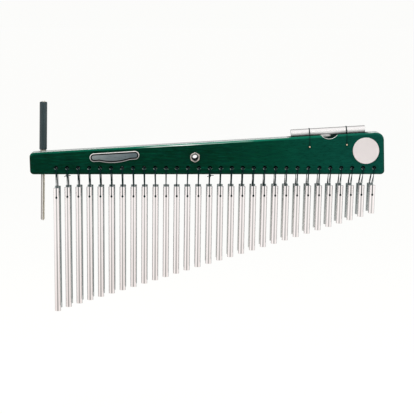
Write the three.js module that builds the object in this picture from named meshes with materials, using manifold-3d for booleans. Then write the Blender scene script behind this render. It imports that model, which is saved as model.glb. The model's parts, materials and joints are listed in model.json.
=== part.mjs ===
// A bar chime: a tapered wooden board with a double row of tuned metal bars on cords,
// a stored beater, a small bell bar on top and a bushing that takes a stand's rod.
// Millimetres, +X along the board, +Y to the back, +Z up. Origin on the bushing's axis, mid board.
import * as THREE from 'three';
import { mergeVertices } from 'three/addons/utils/BufferGeometryUtils.js';
import Module from 'manifold-3d';

const wasm = await Module();
wasm.setup();

// Clearances
const fitGap = 0.3;
const cutOvershoot = 1;
const fuseDepth = 1;

// Bars and their cords
const barCount = 30;
const barPitch = 17.5;
const barDiameter = 9.5;
const longestBar = 198.6;
const shortestBar = 45.6;
const barStandoff = 3.5;
const barHang = 19.1;
const hangRise = 2.5;
const firstBarExtraHang = 2;
const extraHangFalloff = 0.3;
const crossHoleDrop = 15.2;
const crossHoleRoom = 0.9;
const leftLean = THREE.MathUtils.degToRad(-0.2);
const rightLean = THREE.MathUtils.degToRad(1.8);
const leftSway = 0.6;
const leftSwayHold = 0.3;
const leftSwayEnd = 0.42;
const middleSway = -1;
const rightSway = -3.4;
const rightSwayStart = 0.82;
const barsPerRearGroup = 2;
const cordDiameter = 1.2;
const cordBendRise = 1.2;

// Board
const leftEndMargin = 41.8;
const rightEndMargin = 16;
const boardThickness = 25;
const boardLeftHeight = 35.1;
const boardTaper = THREE.MathUtils.degToRad(3.36);
const boardEndLean = THREE.MathUtils.degToRad(1.6);
const boardCornerRadius = 6;
const boardHighCornerRadius = 13;
const boardEdgeHeight = 4.5;
const boardEdgeDepth = 2.4;
const cordHoleRise = 10.5;
const cordHoleRoom = 0.65;
const cordHoleFlare = 1.2;
const cordHoleFlareDepth = 1.4;

// Bushing for the stand's rod
const bushingFromFirstHole = 221;
const bushingRise = 27.6;
const bushingBore = 8;
const bushingWall = 1.5;
const hexAcrossCorners = 17.5;
const hexHeadThickness = 3.2;
const hexNutThickness = 3.2;

// Nameplate
const plateFromFirstHole = 93;
const plateDrop = 14.2;
const plateLength = 79;
const plateHeight = 13.6;
const plateBellyWidth = 48;
const plateBellyDepth = 3.3;
const plateThickness = 1.6;
const plateRimWidth = 1.8;
const plateRimHeight = 0.6;

// Round badge
const badgeInset = 29.4;
const badgeDrop = 28.6;
const badgeDiameter = 42;
const badgeThickness = 1.2;

// Beater stored in the board's left end
const beaterFromLeftEnd = 20.6;
const beaterLean = THREE.MathUtils.degToRad(1);
const beaterRodDiameter = 6;
const beaterRodBelowBoard = 75.1;
const handleDiameter = 12;
const handleLength = 76.6;
const handleRound = 2.5;
const rodNubHeight = 1.4;
const ferruleDiameter = 9.6;
const ferruleLength = 2.2;
const grommetFlangeDiameter = 13;
const grommetFlangeThickness = 1.4;
const grommetSink = 2;
const grommetSleeveWall = 1.6;
const grommetSleeveLength = 9;

// Bell bar on the board's top
const bellFromRightEnd = 89.8;
const bellLength = 119;
const bellDiameter = 11;
const bellRise = 5.8;
const bellCordInset = 29.8;
const bellEndRoom = 8;
const bellGrooveRoom = 2.5;
const notchWidth = 26;
const notchDepth = 6;
const notchFromBellMiddle = 1.1;
const pinDrop = 17.2;
const pinDiameter = 1.8;
const pinHeadDiameter = 2.6;
const pinHeadThickness = 0.8;

// Facets
const cordSides = 4;
const barSides = 10;
const holeSides = 8;
const pinholeSides = 6;
const turnedSides = 16;
const roundSides = 24;
const discSides = 48;
const hexSides = 6;
const bevelSteps = 3;
const outlineArcSteps = 3;
const plateArcSteps = 6;

// Places that follow from the sizes
const halfBoard = boardThickness / 2;
const boardLength = leftEndMargin + (barCount - 1) * barPitch + rightEndMargin;
const firstHoleX = -bushingFromFirstHole;
const boardLeft = firstHoleX - leftEndMargin;
const boardRight = boardLeft + boardLength;
const boardBottom = -bushingRise;
const boardTopAt = (x) => boardBottom + boardLeftHeight + (x - boardLeft) * Math.tan(boardTaper);
const cordRadius = cordDiameter / 2;
const cordFaceY = halfBoard + fitGap + cordRadius;
const cordHoleZ = boardBottom + cordHoleRise;
const barRadius = barDiameter / 2;
const barRowY = halfBoard + barStandoff;
const cordOnBar = barRadius + fitGap + cordRadius;
const strandOffset = cordRadius + fitGap / 2;
const underBoardZ = boardBottom - cordRadius - fitGap;
const boardFrontY = -halfBoard;
const cordHoleRadius = strandOffset + cordRadius + cordHoleRoom;

const group = new THREE.Group();

const looks = {
  wood: { color: 0x0b4a36, roughness: 0.25, metalness: 0 },
  aluminium: { color: 0xd9d6d4, roughness: 0.22, metalness: 1 },
  nickel: { color: 0xc8bfb2, roughness: 0.25, metalness: 1 },
  pewter: { color: 0x8b9495, roughness: 0.4, metalness: 1 },
  brass: { color: 0xdcb67c, roughness: 0.3, metalness: 1 },
  disc: { color: 0xe6dedb, roughness: 0.5, metalness: 0 },
  grip: { color: 0x32413f, roughness: 0.6, metalness: 0 },
  rubber: { color: 0x1d2424, roughness: 0.7, metalness: 0 },
  cord: { color: 0x23302f, roughness: 0.85, metalness: 0 },
};

// Adds one named piece with a material of its own.
function addPiece(name, look, geometry) {
  const mesh = new THREE.Mesh(geometry, new THREE.MeshStandardMaterial(looks[look]));
  mesh.name = name;
  group.add(mesh);
  return mesh;
}

// A closed solid, ready to be joined or cut, from a three.js geometry.
function solidOf(geometry) {
  const bare = geometry.clone();
  bare.deleteAttribute('normal');
  bare.deleteAttribute('uv');
  const merged = mergeVertices(bare, 1e-4);
  const corners = merged.index.array;
  const kept = [];
  for (let k = 0; k < corners.length; k += 3) {
    const [a, b, c] = corners.slice(k, k + 3);
    if (a !== b && b !== c && c !== a) kept.push(a, b, c);
  }
  const mesh = new wasm.Mesh({
    numProp: 3,
    vertProperties: new Float32Array(merged.attributes.position.array),
    triVerts: new Uint32Array(kept),
  });
  return new wasm.Manifold(mesh);
}

// The three.js geometry of a joined or cut solid.
function geometryOf(solid) {
  const mesh = solid.getMesh();
  const geometry = new THREE.BufferGeometry();
  geometry.setAttribute('position', new THREE.BufferAttribute(mesh.vertProperties, 3));
  geometry.setIndex(new THREE.BufferAttribute(mesh.triVerts, 1));
  geometry.computeVertexNormals();
  return geometry;
}

const joined = (solids) => solids.reduce((whole, next) => whole.add(next));

// A turned piece about the Y axis from [radius, place] pairs.
function turned(profile, sides) {
  return new THREE.LatheGeometry(profile.map(([r, y]) => new THREE.Vector2(r, y)), sides);
}

// The same with its axis upright.
function turnedUpright(profile, sides) {
  return turned(profile, sides).rotateX(Math.PI / 2);
}

// A straight round rod along Y between two places.
function rodAlongY(radius, from, to, sides) {
  return new THREE.CylinderGeometry(radius, radius, to - from, sides).translate(0, (from + to) / 2, 0);
}

// A taut cord's route: straight runs that bend at their corner points.
class CordRoute extends THREE.Curve {
  constructor(points) {
    super();
    this.points = points;
    this.runs = points.length - 1;
  }

  getPointAt(u) {
    const place = u * this.runs;
    const run = Math.min(Math.floor(place), this.runs - 1);
    return this.points[run].clone().lerp(this.points[run + 1], place - run);
  }

  getTangentAt(u) {
    const corner = Math.round(u * this.runs);
    const before = this.points[Math.max(corner - 1, 0)];
    const at = this.points[corner];
    const after = this.points[Math.min(corner + 1, this.runs)];
    const arriving = at.clone().sub(before).normalize();
    const leaving = after.clone().sub(at).normalize();
    return arriving.add(leaving).normalize();
  }
}

// A cord along a route of corner points.
function cord(points) {
  const section = Array.from({ length: cordSides }, (_, k) => {
    const turn = (2 * Math.PI * k) / cordSides;
    return new THREE.Vector2(cordRadius * Math.cos(turn), cordRadius * Math.sin(turn));
  });
  const route = new CordRoute(points.map((p) => new THREE.Vector3(...p)));
  return new THREE.ExtrudeGeometry(new THREE.Shape(section), { steps: route.runs, extrudePath: route });
}

// An outline through corners, counter-clockwise, each rounded with its own radius.
function roundedOutline(corners) {
  const shape = new THREE.Shape();
  corners.forEach(({ at, radius }, k) => {
    const toBefore = corners.at(k - 1).at.clone().sub(at).normalize();
    const toAfter = corners[(k + 1) % corners.length].at.clone().sub(at).normalize();
    const halfAngle = toBefore.angleTo(toAfter) / 2;
    const reach = radius / Math.tan(halfAngle);
    const inward = toBefore.clone().add(toAfter).normalize();
    const centre = at.clone().addScaledVector(inward, radius / Math.sin(halfAngle));
    const start = at.clone().addScaledVector(toBefore, reach).sub(centre);
    const end = at.clone().addScaledVector(toAfter, reach).sub(centre);
    shape.absarc(centre.x, centre.y, radius, start.angle(), end.angle(), false);
  });
  return shape;
}

// Place, length and lean of each bar. The cords get a little shorter along the row, and the bars hang
// closer together than their holes: to the right of them at the left end, and to the left further on.
const bars = Array.from({ length: barCount }, (_, k) => {
  const share = k / (barCount - 1);
  const hang = barHang + firstBarExtraHang * extraHangFalloff ** k - hangRise * share ** 2;
  const topZ = boardBottom - hang;
  const holeX = firstHoleX + k * barPitch;
  const pastLeft = THREE.MathUtils.smoothstep(share, leftSwayHold, leftSwayEnd);
  const pastMiddle = THREE.MathUtils.smoothstep(share, rightSwayStart, 1);
  const sway = leftSway + (middleSway - leftSway) * pastLeft + (rightSway - middleSway) * pastMiddle;
  return {
    number: String(k + 1).padStart(2, '0'),
    holeX,
    x: holeX + sway,
    length: longestBar + (shortestBar - longestBar) * share,
    lean: leftLean + (rightLean - leftLean) * share,
    topZ,
    holeZ: topZ - crossHoleDrop,
  };
});

// Bell bar's place: parallel to the board's top edge, raised square to it
const bellX = boardRight - bellFromRightEnd;
const bellSeatX = bellX + bellRise * Math.sin(boardTaper);
const bellZ = boardTopAt(bellSeatX) + bellRise * Math.cos(boardTaper);
const bellRadius = bellDiameter / 2;
const bellCordRing = bellRadius + fitGap + cordRadius;
const bellGrooveRadius = bellCordRing + cordRadius + bellGrooveRoom;
const alongTop = (distance) => new THREE.Vector3(
  bellX + distance * Math.cos(boardTaper),
  0,
  bellZ + distance * Math.sin(boardTaper),
);
const bellCordPlaces = {
  left: alongTop(bellCordInset - bellLength / 2),
  right: alongTop(bellLength / 2 - bellCordInset),
};
const pinZ = (place) => boardTopAt(place.x) - pinDrop;

// Turns a piece that lies along Y so that it lies along the board's top edge.
function layAlongTop(geometry) {
  return geometry.rotateZ(-Math.PI / 2).rotateY(-boardTaper);
}

// Beater's places
const beaterX = boardLeft + beaterFromLeftEnd;
const rodRadius = beaterRodDiameter / 2;
const grommetFlangeRadius = grommetFlangeDiameter / 2;
const spotFaceRadius = grommetFlangeRadius + fitGap;
const grommetSeatZ = boardTopAt(beaterX - spotFaceRadius) - grommetSink;
const grommetTopZ = grommetSeatZ + fitGap + grommetFlangeThickness;
const grommetSleeveRadius = rodRadius + fitGap + grommetSleeveWall;
const ferruleZ = grommetTopZ + fitGap;
const handleZ = ferruleZ + ferruleLength + fitGap;

// Stands an upright turned piece in the beater's place, leaning about its seat.
function standInBoard(geometry) {
  return geometry.translate(0, 0, -grommetSeatZ).rotateY(beaterLean).translate(beaterX, 0, grommetSeatZ);
}

// Board with its cord holes, bushing hole, beater hole, bell groove and thumb notch
function makeBoard() {
  const halfLean = (endX) => (boardTopAt(endX) - boardBottom) * Math.tan(boardEndLean) / 2;
  const highLeft = boardLeft - halfLean(boardLeft);
  const highRight = boardRight - halfLean(boardRight);
  const lowLeft = boardLeft + halfLean(boardLeft);
  const lowRight = boardRight + halfLean(boardRight);
  const outline = roundedOutline([
    { at: new THREE.Vector2(lowLeft, boardBottom), radius: boardCornerRadius },
    { at: new THREE.Vector2(lowRight, boardBottom), radius: boardCornerRadius },
    { at: new THREE.Vector2(highRight, boardTopAt(highRight)), radius: boardHighCornerRadius },
    { at: new THREE.Vector2(highLeft, boardTopAt(highLeft)), radius: boardCornerRadius },
  ]);
  const blank = new THREE.ExtrudeGeometry(outline, {
    depth: boardThickness - 2 * boardEdgeDepth,
    bevelThickness: boardEdgeDepth,
    bevelSize: boardEdgeHeight,
    bevelOffset: -boardEdgeHeight,
    bevelSegments: bevelSteps,
    curveSegments: outlineArcSteps,
  });
  blank.translate(0, 0, boardEdgeDepth - halfBoard).rotateX(Math.PI / 2);

  const past = halfBoard + cutOvershoot;
  const mouthRadius = cordHoleRadius + cordHoleFlare * (1 + cutOvershoot / cordHoleFlareDepth);
  const throatY = cordHoleFlareDepth - halfBoard;
  const cordHole = turned([
    [0, -past], [mouthRadius, -past], [cordHoleRadius, throatY], [cordHoleRadius, past], [0, past],
  ], holeSides);
  const cuts = bars.map(({ holeX }) => solidOf(cordHole.clone().translate(holeX, 0, cordHoleZ)));

  const sleeveHoleRadius = bushingBore / 2 + bushingWall + fitGap;
  cuts.push(solidOf(rodAlongY(sleeveHoleRadius, -past, past, roundSides)));

  const rodHoleRadius = rodRadius + fitGap;
  const sleeveHole = grommetSleeveRadius + fitGap;
  const sleeveFloor = grommetSeatZ - grommetSleeveLength - fitGap;
  const above = boardTopAt(beaterX + spotFaceRadius) + cutOvershoot;
  cuts.push(solidOf(standInBoard(turnedUpright([
    [0, boardBottom - cutOvershoot], [rodHoleRadius, boardBottom - cutOvershoot],
    [rodHoleRadius, sleeveFloor], [sleeveHole, sleeveFloor], [sleeveHole, grommetSeatZ],
    [spotFaceRadius, grommetSeatZ], [spotFaceRadius, above], [0, above],
  ], roundSides))));

  const straightGroove = bellLength + 2 * (bellEndRoom - bellGrooveRadius);
  const groove = layAlongTop(
    new THREE.CapsuleGeometry(bellGrooveRadius, straightGroove, bevelSteps, turnedSides),
  );
  cuts.push(solidOf(groove.translate(bellX, 0, bellZ)));

  const notchRadius = (notchWidth ** 2 / 4 + notchDepth ** 2) / (2 * notchDepth);
  const notch = rodAlongY(notchRadius, -past, 0, discSides);
  const notchX = bellX + notchFromBellMiddle;
  cuts.push(solidOf(notch.translate(notchX, 0, boardTopAt(notchX) + notchRadius - notchDepth)));

  for (const place of Object.values(bellCordPlaces)) {
    const pinHole = rodAlongY(pinDiameter / 2 + fitGap, -past, past, pinholeSides);
    cuts.push(solidOf(pinHole.translate(place.x, 0, pinZ(place))));
  }
  addPiece('mantle', 'wood', geometryOf(cuts.reduce((board, cut) => board.subtract(cut), solidOf(blank))));
}

// Hex-headed bushing through the board and the hex nut that holds it from behind
function makeBushing() {
  const hex = (from, to) => rodAlongY(hexAcrossCorners / 2, from, to, hexSides);
  const sleeveRadius = bushingBore / 2 + bushingWall;
  const front = boardFrontY - hexHeadThickness;
  const back = halfBoard + hexNutThickness;
  const head = solidOf(hex(front, boardFrontY));
  const sleeve = solidOf(rodAlongY(sleeveRadius, front + fuseDepth, back - fitGap, roundSides));
  const bore = rodAlongY(bushingBore / 2, front - cutOvershoot, back + cutOvershoot, roundSides);
  addPiece('mount_bushing', 'nickel', geometryOf(head.add(sleeve).subtract(solidOf(bore))));
  const nutRadius = sleeveRadius + fitGap;
  const nutHole = rodAlongY(nutRadius, halfBoard - cutOvershoot, back + cutOvershoot, roundSides);
  addPiece('mount_nut', 'nickel', geometryOf(solidOf(hex(halfBoard, back)).subtract(solidOf(nutHole))));
}

// Plate outline, drawn in by an inset: straight top, half-round ends, bellied bottom
function plateOutline(inset) {
  const endRadius = plateHeight / 2 - inset;
  const endCentre = (plateLength - plateHeight) / 2;
  const shape = new THREE.Shape();
  shape.absarc(endCentre, 0, endRadius, -Math.PI / 2, Math.PI / 2, false);
  shape.absarc(-endCentre, 0, endRadius, Math.PI / 2, 3 * Math.PI / 2, false);
  shape.lineTo(-plateBellyWidth / 2, -endRadius);
  shape.quadraticCurveTo(0, -endRadius - 2 * plateBellyDepth, plateBellyWidth / 2, -endRadius);
  return shape;
}

// Bare nameplate with a raised rim, lying parallel to the board's top edge
function makeNameplate() {
  const slab = (inset, depth) => new THREE.ExtrudeGeometry(plateOutline(inset), {
    depth,
    bevelEnabled: false,
    curveSegments: plateArcSteps,
  });
  const pocket = slab(plateRimWidth, plateRimHeight + cutOvershoot);
  pocket.translate(0, 0, plateThickness - plateRimHeight);
  const plate = geometryOf(solidOf(slab(0, plateThickness)).subtract(solidOf(pocket)));
  plate.rotateZ(boardTaper).rotateX(Math.PI / 2);
  const plateX = firstHoleX + plateFromFirstHole;
  plate.translate(plateX, boardFrontY, boardTopAt(plateX) - plateDrop);
  addPiece('nameplate', 'pewter', plate);
}

// Bare round badge
function makeBadge() {
  const disc = rodAlongY(badgeDiameter / 2, boardFrontY - badgeThickness, boardFrontY, discSides);
  const badgeX = boardRight - badgeInset;
  disc.translate(badgeX, 0, boardTopAt(badgeX) - badgeDrop);
  addPiece('round_badge', 'disc', disc);
}

// Beater: rod, handle and ferrule, with the grommet that carries them
function makeBeater() {
  const boreRadius = rodRadius + fitGap;
  const tipZ = boardBottom - beaterRodBelowBoard;
  const handleTop = handleZ + handleLength;
  const nubTop = handleTop + rodNubHeight;
  const rounded = rodRadius * Math.SQRT1_2;
  const rod = turnedUpright([
    [0, tipZ], [rounded, tipZ + rodRadius - rounded], [rodRadius, tipZ + rodRadius],
    [rodRadius, nubTop - rodRadius + rounded], [rounded, nubTop], [0, nubTop],
  ], barSides);
  addPiece('beater_rod', 'nickel', standInBoard(rod));

  const gripRadius = handleDiameter / 2;
  const handle = turnedUpright([
    [boreRadius, handleZ], [gripRadius - handleRound, handleZ], [gripRadius, handleZ + handleRound],
    [gripRadius, handleTop - handleRound], [gripRadius - handleRound, handleTop],
    [boreRadius, handleTop], [boreRadius, handleZ],
  ], turnedSides);
  addPiece('beater_handle', 'grip', standInBoard(handle));

  const ferruleTop = ferruleZ + ferruleLength;
  const ferrule = turnedUpright([
    [boreRadius, ferruleZ], [ferruleDiameter / 2, ferruleZ], [ferruleDiameter / 2, ferruleTop],
    [boreRadius, ferruleTop], [boreRadius, ferruleZ],
  ], turnedSides);
  addPiece('beater_ferrule', 'nickel', standInBoard(ferrule));

  const flangeUnder = grommetSeatZ + fitGap;
  const sleeveEnd = grommetSeatZ - grommetSleeveLength;
  const grommet = turnedUpright([
    [boreRadius, sleeveEnd], [grommetSleeveRadius, sleeveEnd], [grommetSleeveRadius, flangeUnder],
    [grommetFlangeRadius, flangeUnder], [grommetFlangeRadius, grommetTopZ],
    [boreRadius, grommetTopZ], [boreRadius, sleeveEnd],
  ], turnedSides);
  addPiece('beater_grommet', 'rubber', standInBoard(grommet));
}

// Bell bar on top, carried and held down by two cords that are tied to pins through the board
function makeBell() {
  const bar = layAlongTop(new THREE.CylinderGeometry(bellRadius, bellRadius, bellLength, turnedSides));
  addPiece('bell_bar', 'aluminium', bar.translate(bellX, 0, bellZ));

  const neckEnd = cordFaceY + cordRadius + fitGap;
  const headEnd = neckEnd + pinHeadThickness;
  const pinProfile = [
    [0, -headEnd], [pinHeadDiameter / 2, -headEnd], [pinHeadDiameter / 2, -neckEnd],
    [pinDiameter / 2, -neckEnd], [pinDiameter / 2, neckEnd], [pinHeadDiameter / 2, neckEnd],
    [pinHeadDiameter / 2, headEnd], [0, headEnd],
  ];
  const eyeRadius = pinDiameter / 2 + fitGap + cordRadius;
  const cordClear = cordRadius + 2 * fitGap;
  const cornerY = halfBoard - boardEdgeDepth + (boardEdgeDepth + cordClear) * Math.SQRT1_2;
  const cornerRise = (boardEdgeHeight + cordClear) * Math.SQRT1_2;

  for (const [side, place] of Object.entries(bellCordPlaces)) {
    const z = pinZ(place);
    const roundZ = boardTopAt(place.x) - boardEdgeHeight;
    const ring = new THREE.TorusGeometry(bellCordRing, cordRadius, cordSides, turnedSides);
    ring.rotateY(Math.PI / 2 - boardTaper).translate(place.x, 0, place.z);
    const pieces = [ring];
    for (const face of [-1, 1]) {
      pieces.push(cord([
        [place.x, face * cordFaceY, z + eyeRadius],
        [place.x, face * cordFaceY, roundZ],
        [place.x, face * cornerY, roundZ + cornerRise],
        [place.x, face * bellCordRing, place.z],
      ]));
      const eye = new THREE.TorusGeometry(eyeRadius, cordRadius, cordSides, holeSides);
      pieces.push(eye.rotateX(Math.PI / 2).translate(place.x, face * cordFaceY, z));
    }
    addPiece(`bell_cord_${side}`, 'cord', geometryOf(joined(pieces.map(solidOf))));
    addPiece(`bell_pin_${side}`, 'brass', turned(pinProfile, pinholeSides).translate(place.x, 0, z));
  }
}

// Front bars: one piece each, leaning a little about the cord through its cross-hole
function makeFrontBars() {
  for (const { number, x, length, lean, holeZ } of bars) {
    const rod = new THREE.CylinderGeometry(barRadius, barRadius, length, barSides).rotateX(Math.PI / 2);
    const past = barRadius + cutOvershoot;
    const crossHole = rodAlongY(cordRadius + crossHoleRoom, -past, past, pinholeSides);
    const bar = solidOf(rod.translate(0, 0, crossHoleDrop - length / 2)).subtract(solidOf(crossHole));
    const mesh = addPiece(`front_bar_${number}`, 'aluminium', geometryOf(bar));
    mesh.position.set(x, -barRowY, holeZ);
    mesh.rotation.y = lean;
  }
}

// The lacing: a run along the board's back, and through each hole a loop that carries a front bar
function makeLacing() {
  const runZ = cordHoleZ + cordRadius + fitGap;
  const lastHole = bars.at(-1).holeX;
  const pieces = [cord([
    [firstHoleX - cordDiameter, cordFaceY, runZ],
    [lastHole + cordDiameter, cordFaceY, runZ],
  ])];
  for (const { holeX, x, topZ, holeZ } of bars) {
    const frontLeg = -barRowY - cordOnBar;
    const rearLeg = -barRowY + cordOnBar;
    const bendZ = topZ + cordBendRise;
    pieces.push(cord([
      [holeX + strandOffset, cordFaceY, runZ],
      [holeX + strandOffset, -cordFaceY, cordHoleZ],
      [x, frontLeg, bendZ],
      [x, frontLeg, holeZ],
      [x, rearLeg, holeZ],
      [x, rearLeg, bendZ],
      [holeX - strandOffset, -cordFaceY, underBoardZ],
      [holeX - strandOffset, -cordFaceY, cordHoleZ],
      [holeX - strandOffset, 0, cordHoleZ],
    ]));
  }
  addPiece('suspension_cord', 'cord', geometryOf(joined(pieces.map(solidOf))));
}

// Rear bars: neighbours hang on one cord that runs along the board's back on their swing axis
function makeRearBars() {
  const axisZ = cordHoleZ - cordRadius - fitGap;
  for (let first = 0; first < barCount; first += barsPerRearGroup) {
    const members = bars.slice(first, first + barsPerRearGroup);
    const pieces = [cord([
      [members[0].holeX - cordDiameter, cordFaceY, axisZ],
      [members.at(-1).holeX + cordDiameter, cordFaceY, axisZ],
    ])];
    for (const { holeX, x, length, lean, topZ, holeZ } of members) {
      const rod = new THREE.CylinderGeometry(barRadius, barRadius, length, barSides).rotateX(Math.PI / 2);
      rod.translate(0, 0, crossHoleDrop - length / 2).rotateY(lean);
      pieces.push(rod.translate(x, barRowY, holeZ));
      const rimInset = barRadius - cordDiameter;
      const endZ = topZ - fuseDepth;
      pieces.push(cord([
        [holeX - strandOffset, cordFaceY, axisZ],
        [holeX - strandOffset, cordFaceY, underBoardZ],
        [x, barRowY - rimInset, endZ],
      ]));
      pieces.push(cord([
        [holeX + strandOffset, cordFaceY, axisZ],
        [x, barRowY + rimInset, endZ],
      ]));
    }
    const name = `rear_bars_${members.map(({ number }) => number).join('_')}`;
    addPiece(name, 'aluminium', geometryOf(joined(pieces.map(solidOf))));
  }
}

makeBoard();
makeBushing();
makeNameplate();
makeBadge();
makeBeater();
makeBell();
makeLacing();
makeFrontBars();
makeRearBars();

export default group;
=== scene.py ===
# %% [markdown]
# # A bar chime, piece by piece
# A bar chime is a board with a row of tuned metal bars that hang on cords, so that a sweep of the hand
# rings them one after another. This one has a row in front and a row behind, a beater that stands in the
# board's low end and a bell bar that lies on its high end. The measured model says where each piece is and
# which body it moves with. This script gives each piece its fine shape and its finish.

# %% Load the measured model
import json
import math
from functools import partialmethod

import bpy
import numpy as np
from mathutils import Matrix


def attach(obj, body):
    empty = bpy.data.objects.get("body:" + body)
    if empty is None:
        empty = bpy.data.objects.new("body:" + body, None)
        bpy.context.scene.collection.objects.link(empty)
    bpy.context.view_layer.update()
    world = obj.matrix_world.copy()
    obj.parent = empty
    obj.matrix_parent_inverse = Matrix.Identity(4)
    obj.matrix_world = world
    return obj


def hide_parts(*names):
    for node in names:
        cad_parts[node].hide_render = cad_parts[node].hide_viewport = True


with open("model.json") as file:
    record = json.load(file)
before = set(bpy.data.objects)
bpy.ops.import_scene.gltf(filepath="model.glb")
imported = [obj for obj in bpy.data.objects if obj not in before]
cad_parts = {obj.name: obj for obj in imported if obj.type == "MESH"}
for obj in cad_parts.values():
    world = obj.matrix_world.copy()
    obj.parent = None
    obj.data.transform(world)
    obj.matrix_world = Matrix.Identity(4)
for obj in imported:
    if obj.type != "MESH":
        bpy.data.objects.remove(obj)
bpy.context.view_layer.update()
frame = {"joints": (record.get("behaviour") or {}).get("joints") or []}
scene = bpy.context.scene
scene.view_settings.view_transform = "Standard"

# %% [markdown]
# ## The camera
# The picture was taken with a long lens from about two and a half metres, a little above the board and to
# its left. The distance shows in how far the rear bars slide out from behind the front ones. A Track To
# constraint could aim the camera, but a target and three angles can be read off, and its axes follow from
# them.

# %% Camera from a target, a distance and three angles
target, distance = np.array([0.01969, 0.0, -0.08148]), 2.5
pitch, yaw, roll = np.radians([7.0, 1.447, 0.12])
forward = np.array([math.sin(yaw) * math.cos(pitch), math.cos(yaw) * math.cos(pitch), -math.sin(pitch)])
level = np.array([math.cos(yaw), -math.sin(yaw), 0.0])
raised = np.cross(level, forward)
rightward = level * math.cos(roll) + raised * math.sin(roll)
upward = raised * math.cos(roll) - level * math.sin(roll)


def add_object(name, data):
    """An object for a mesh, a lamp or a camera, in the scene."""
    made = bpy.data.objects.new(name, data)
    scene.collection.objects.link(made)
    return made


def placed(thing, *axes_and_place):
    """Puts an object where its three axes and its place say: they are the columns of its matrix."""
    pose = np.eye(4)
    pose[:3] = np.stack(axes_and_place, axis=1)
    thing.matrix_world = Matrix(pose.tolist())


camera_data = bpy.data.cameras.new("camera")
camera_data.sensor_width = 36
camera_data.lens = 135.22
camera = add_object("camera", camera_data)
placed(camera, rightward, upward, -forward, target - distance * forward)
scene.camera = camera
print("camera at", np.round(target - distance * forward, 3), "lens", camera_data.lens)

# %% [markdown]
# ## Surfaces from grids
# Nearly every piece here is turned, drawn or bent: a section that is carried along a path. One could edit
# Blender's primitives, but a grid of points that is worked out in one go stays exact and can be changed in
# one place. Points are in millimetres, as on a workshop drawing, until they go into the mesh.

# %% Skin of one or more grids
MM = 0.001


def grid_faces(points, start):
    """Corner numbers and UVs of one grid. Columns wrap round. Rows end in flat caps, unless the last row
    repeats the first one: then they wrap too. U is the distance along the rows in millimetres, V the share
    of the way round."""
    steps = np.linalg.norm(np.diff(points, axis=0), axis=2).mean(axis=1)
    run = np.concatenate([[0.0], np.cumsum(steps)])
    ring = np.allclose(points[0], points[-1])
    kept = points[:-1] if ring else points
    rows, cols = kept.shape[:2]
    index = start + np.arange(rows * cols).reshape(rows, cols)
    low = np.vstack([index, index[:1]]) if ring else index
    beside = np.roll(low, -1, axis=1)
    faces = np.stack([low[:-1], beside[:-1], beside[1:], low[1:]], axis=-1).reshape(-1, 4).tolist()
    spots = np.stack(np.meshgrid(run, np.arange(cols + 1) / cols, indexing="ij"), axis=-1)
    uv = np.stack([spots[:-1, :-1], spots[:-1, 1:], spots[1:, 1:], spots[1:, :-1]], axis=2).reshape(-1, 2)
    if not ring:
        faces += [index[0][::-1].tolist(), index[-1].tolist()]
        uv = np.vstack([uv, spots[0, :-1], spots[-1, :-1]])
    return kept.reshape(-1, 3), faces, uv


def skin(name, *grids):
    """One mesh from grids of points (row, column, xyz) in millimetres: each grid is a closed shell."""
    corners, faces, uvs, start = [], [], [], 0
    for points in grids:
        flat, grid_quads, uv = grid_faces(points, start)
        corners.append(flat)
        faces += grid_quads
        uvs.append(uv)
        start += len(flat)
    mesh = bpy.data.meshes.new(name)
    mesh.from_pydata((np.vstack(corners) * MM).tolist(), [], faces)
    mesh.uv_layers.new(name="run").data.foreach_set("uv", np.vstack(uvs).astype(np.float32).ravel())
    mesh.validate()
    return mesh


# %% Turned pieces and the ways they lie
def points_of(x, y, z):
    """Points from their three coordinates, which are spread to one common shape."""
    return np.stack(np.broadcast_arrays(x, y, z), axis=-1)


def turned(profile, sides=48, stock=np.inf):
    """A lathe's work: each profile point (radius, height) becomes a circle of that radius at that height, or
    as much of it as the stock holds, whose reach is given for each side."""
    radius, height = np.asarray(profile, float).T[..., None]
    turn = np.linspace(0, 2 * np.pi, sides, endpoint=False)
    held = np.minimum(radius, stock)
    return points_of(held * np.cos(turn), held * np.sin(turn), height)


def arc(centre, radius, start, end, steps=6):
    """Profile points on part of a circle: the centre plus the radius times cosine and sine of an angle."""
    angle = np.radians(np.linspace(start, end, steps))
    return [(centre[0] + radius * c, centre[1] + radius * s) for c, s in zip(np.cos(angle), np.sin(angle))]


def lying_back(points):
    """Turns Z to Y: height becomes depth, so that a turned piece points through the board."""
    x, y, z = np.moveaxis(points, -1, 0)
    return points_of(x, z, -y)


def leaning(points, angle):
    """Turns points about the Y axis: x' = x cos a + z sin a, z' = z cos a - x sin a."""
    x, y, z = np.moveaxis(points, -1, 0)
    return points_of(x * np.cos(angle) + z * np.sin(angle), y, z * np.cos(angle) - x * np.sin(angle))


# %% Cords as round sections on eased paths
def eased(corner_points, spacing=0.7, ease=2.4):
    """A taut cord's path: even steps along the straight runs between the corners, then a moving average over
    a short length, which rounds each corner."""
    corner_points = np.asarray(corner_points, float)
    reach = np.linalg.norm(np.diff(corner_points, axis=0), axis=1)
    run = np.concatenate([[0.0], np.cumsum(reach)])
    even = np.linspace(0, run[-1], int(run[-1] / spacing) + 2)
    path = np.stack([np.interp(even, run, along) for along in corner_points.T], axis=1)
    half = max(int(ease / spacing / 2), 1)
    kernel = np.ones(2 * half + 1) / (2 * half + 1)
    padded = np.pad(path, ((half, half), (0, 0)), mode="edge")
    return np.stack([np.convolve(along, kernel, mode="valid") for along in padded.T], axis=1)


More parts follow.
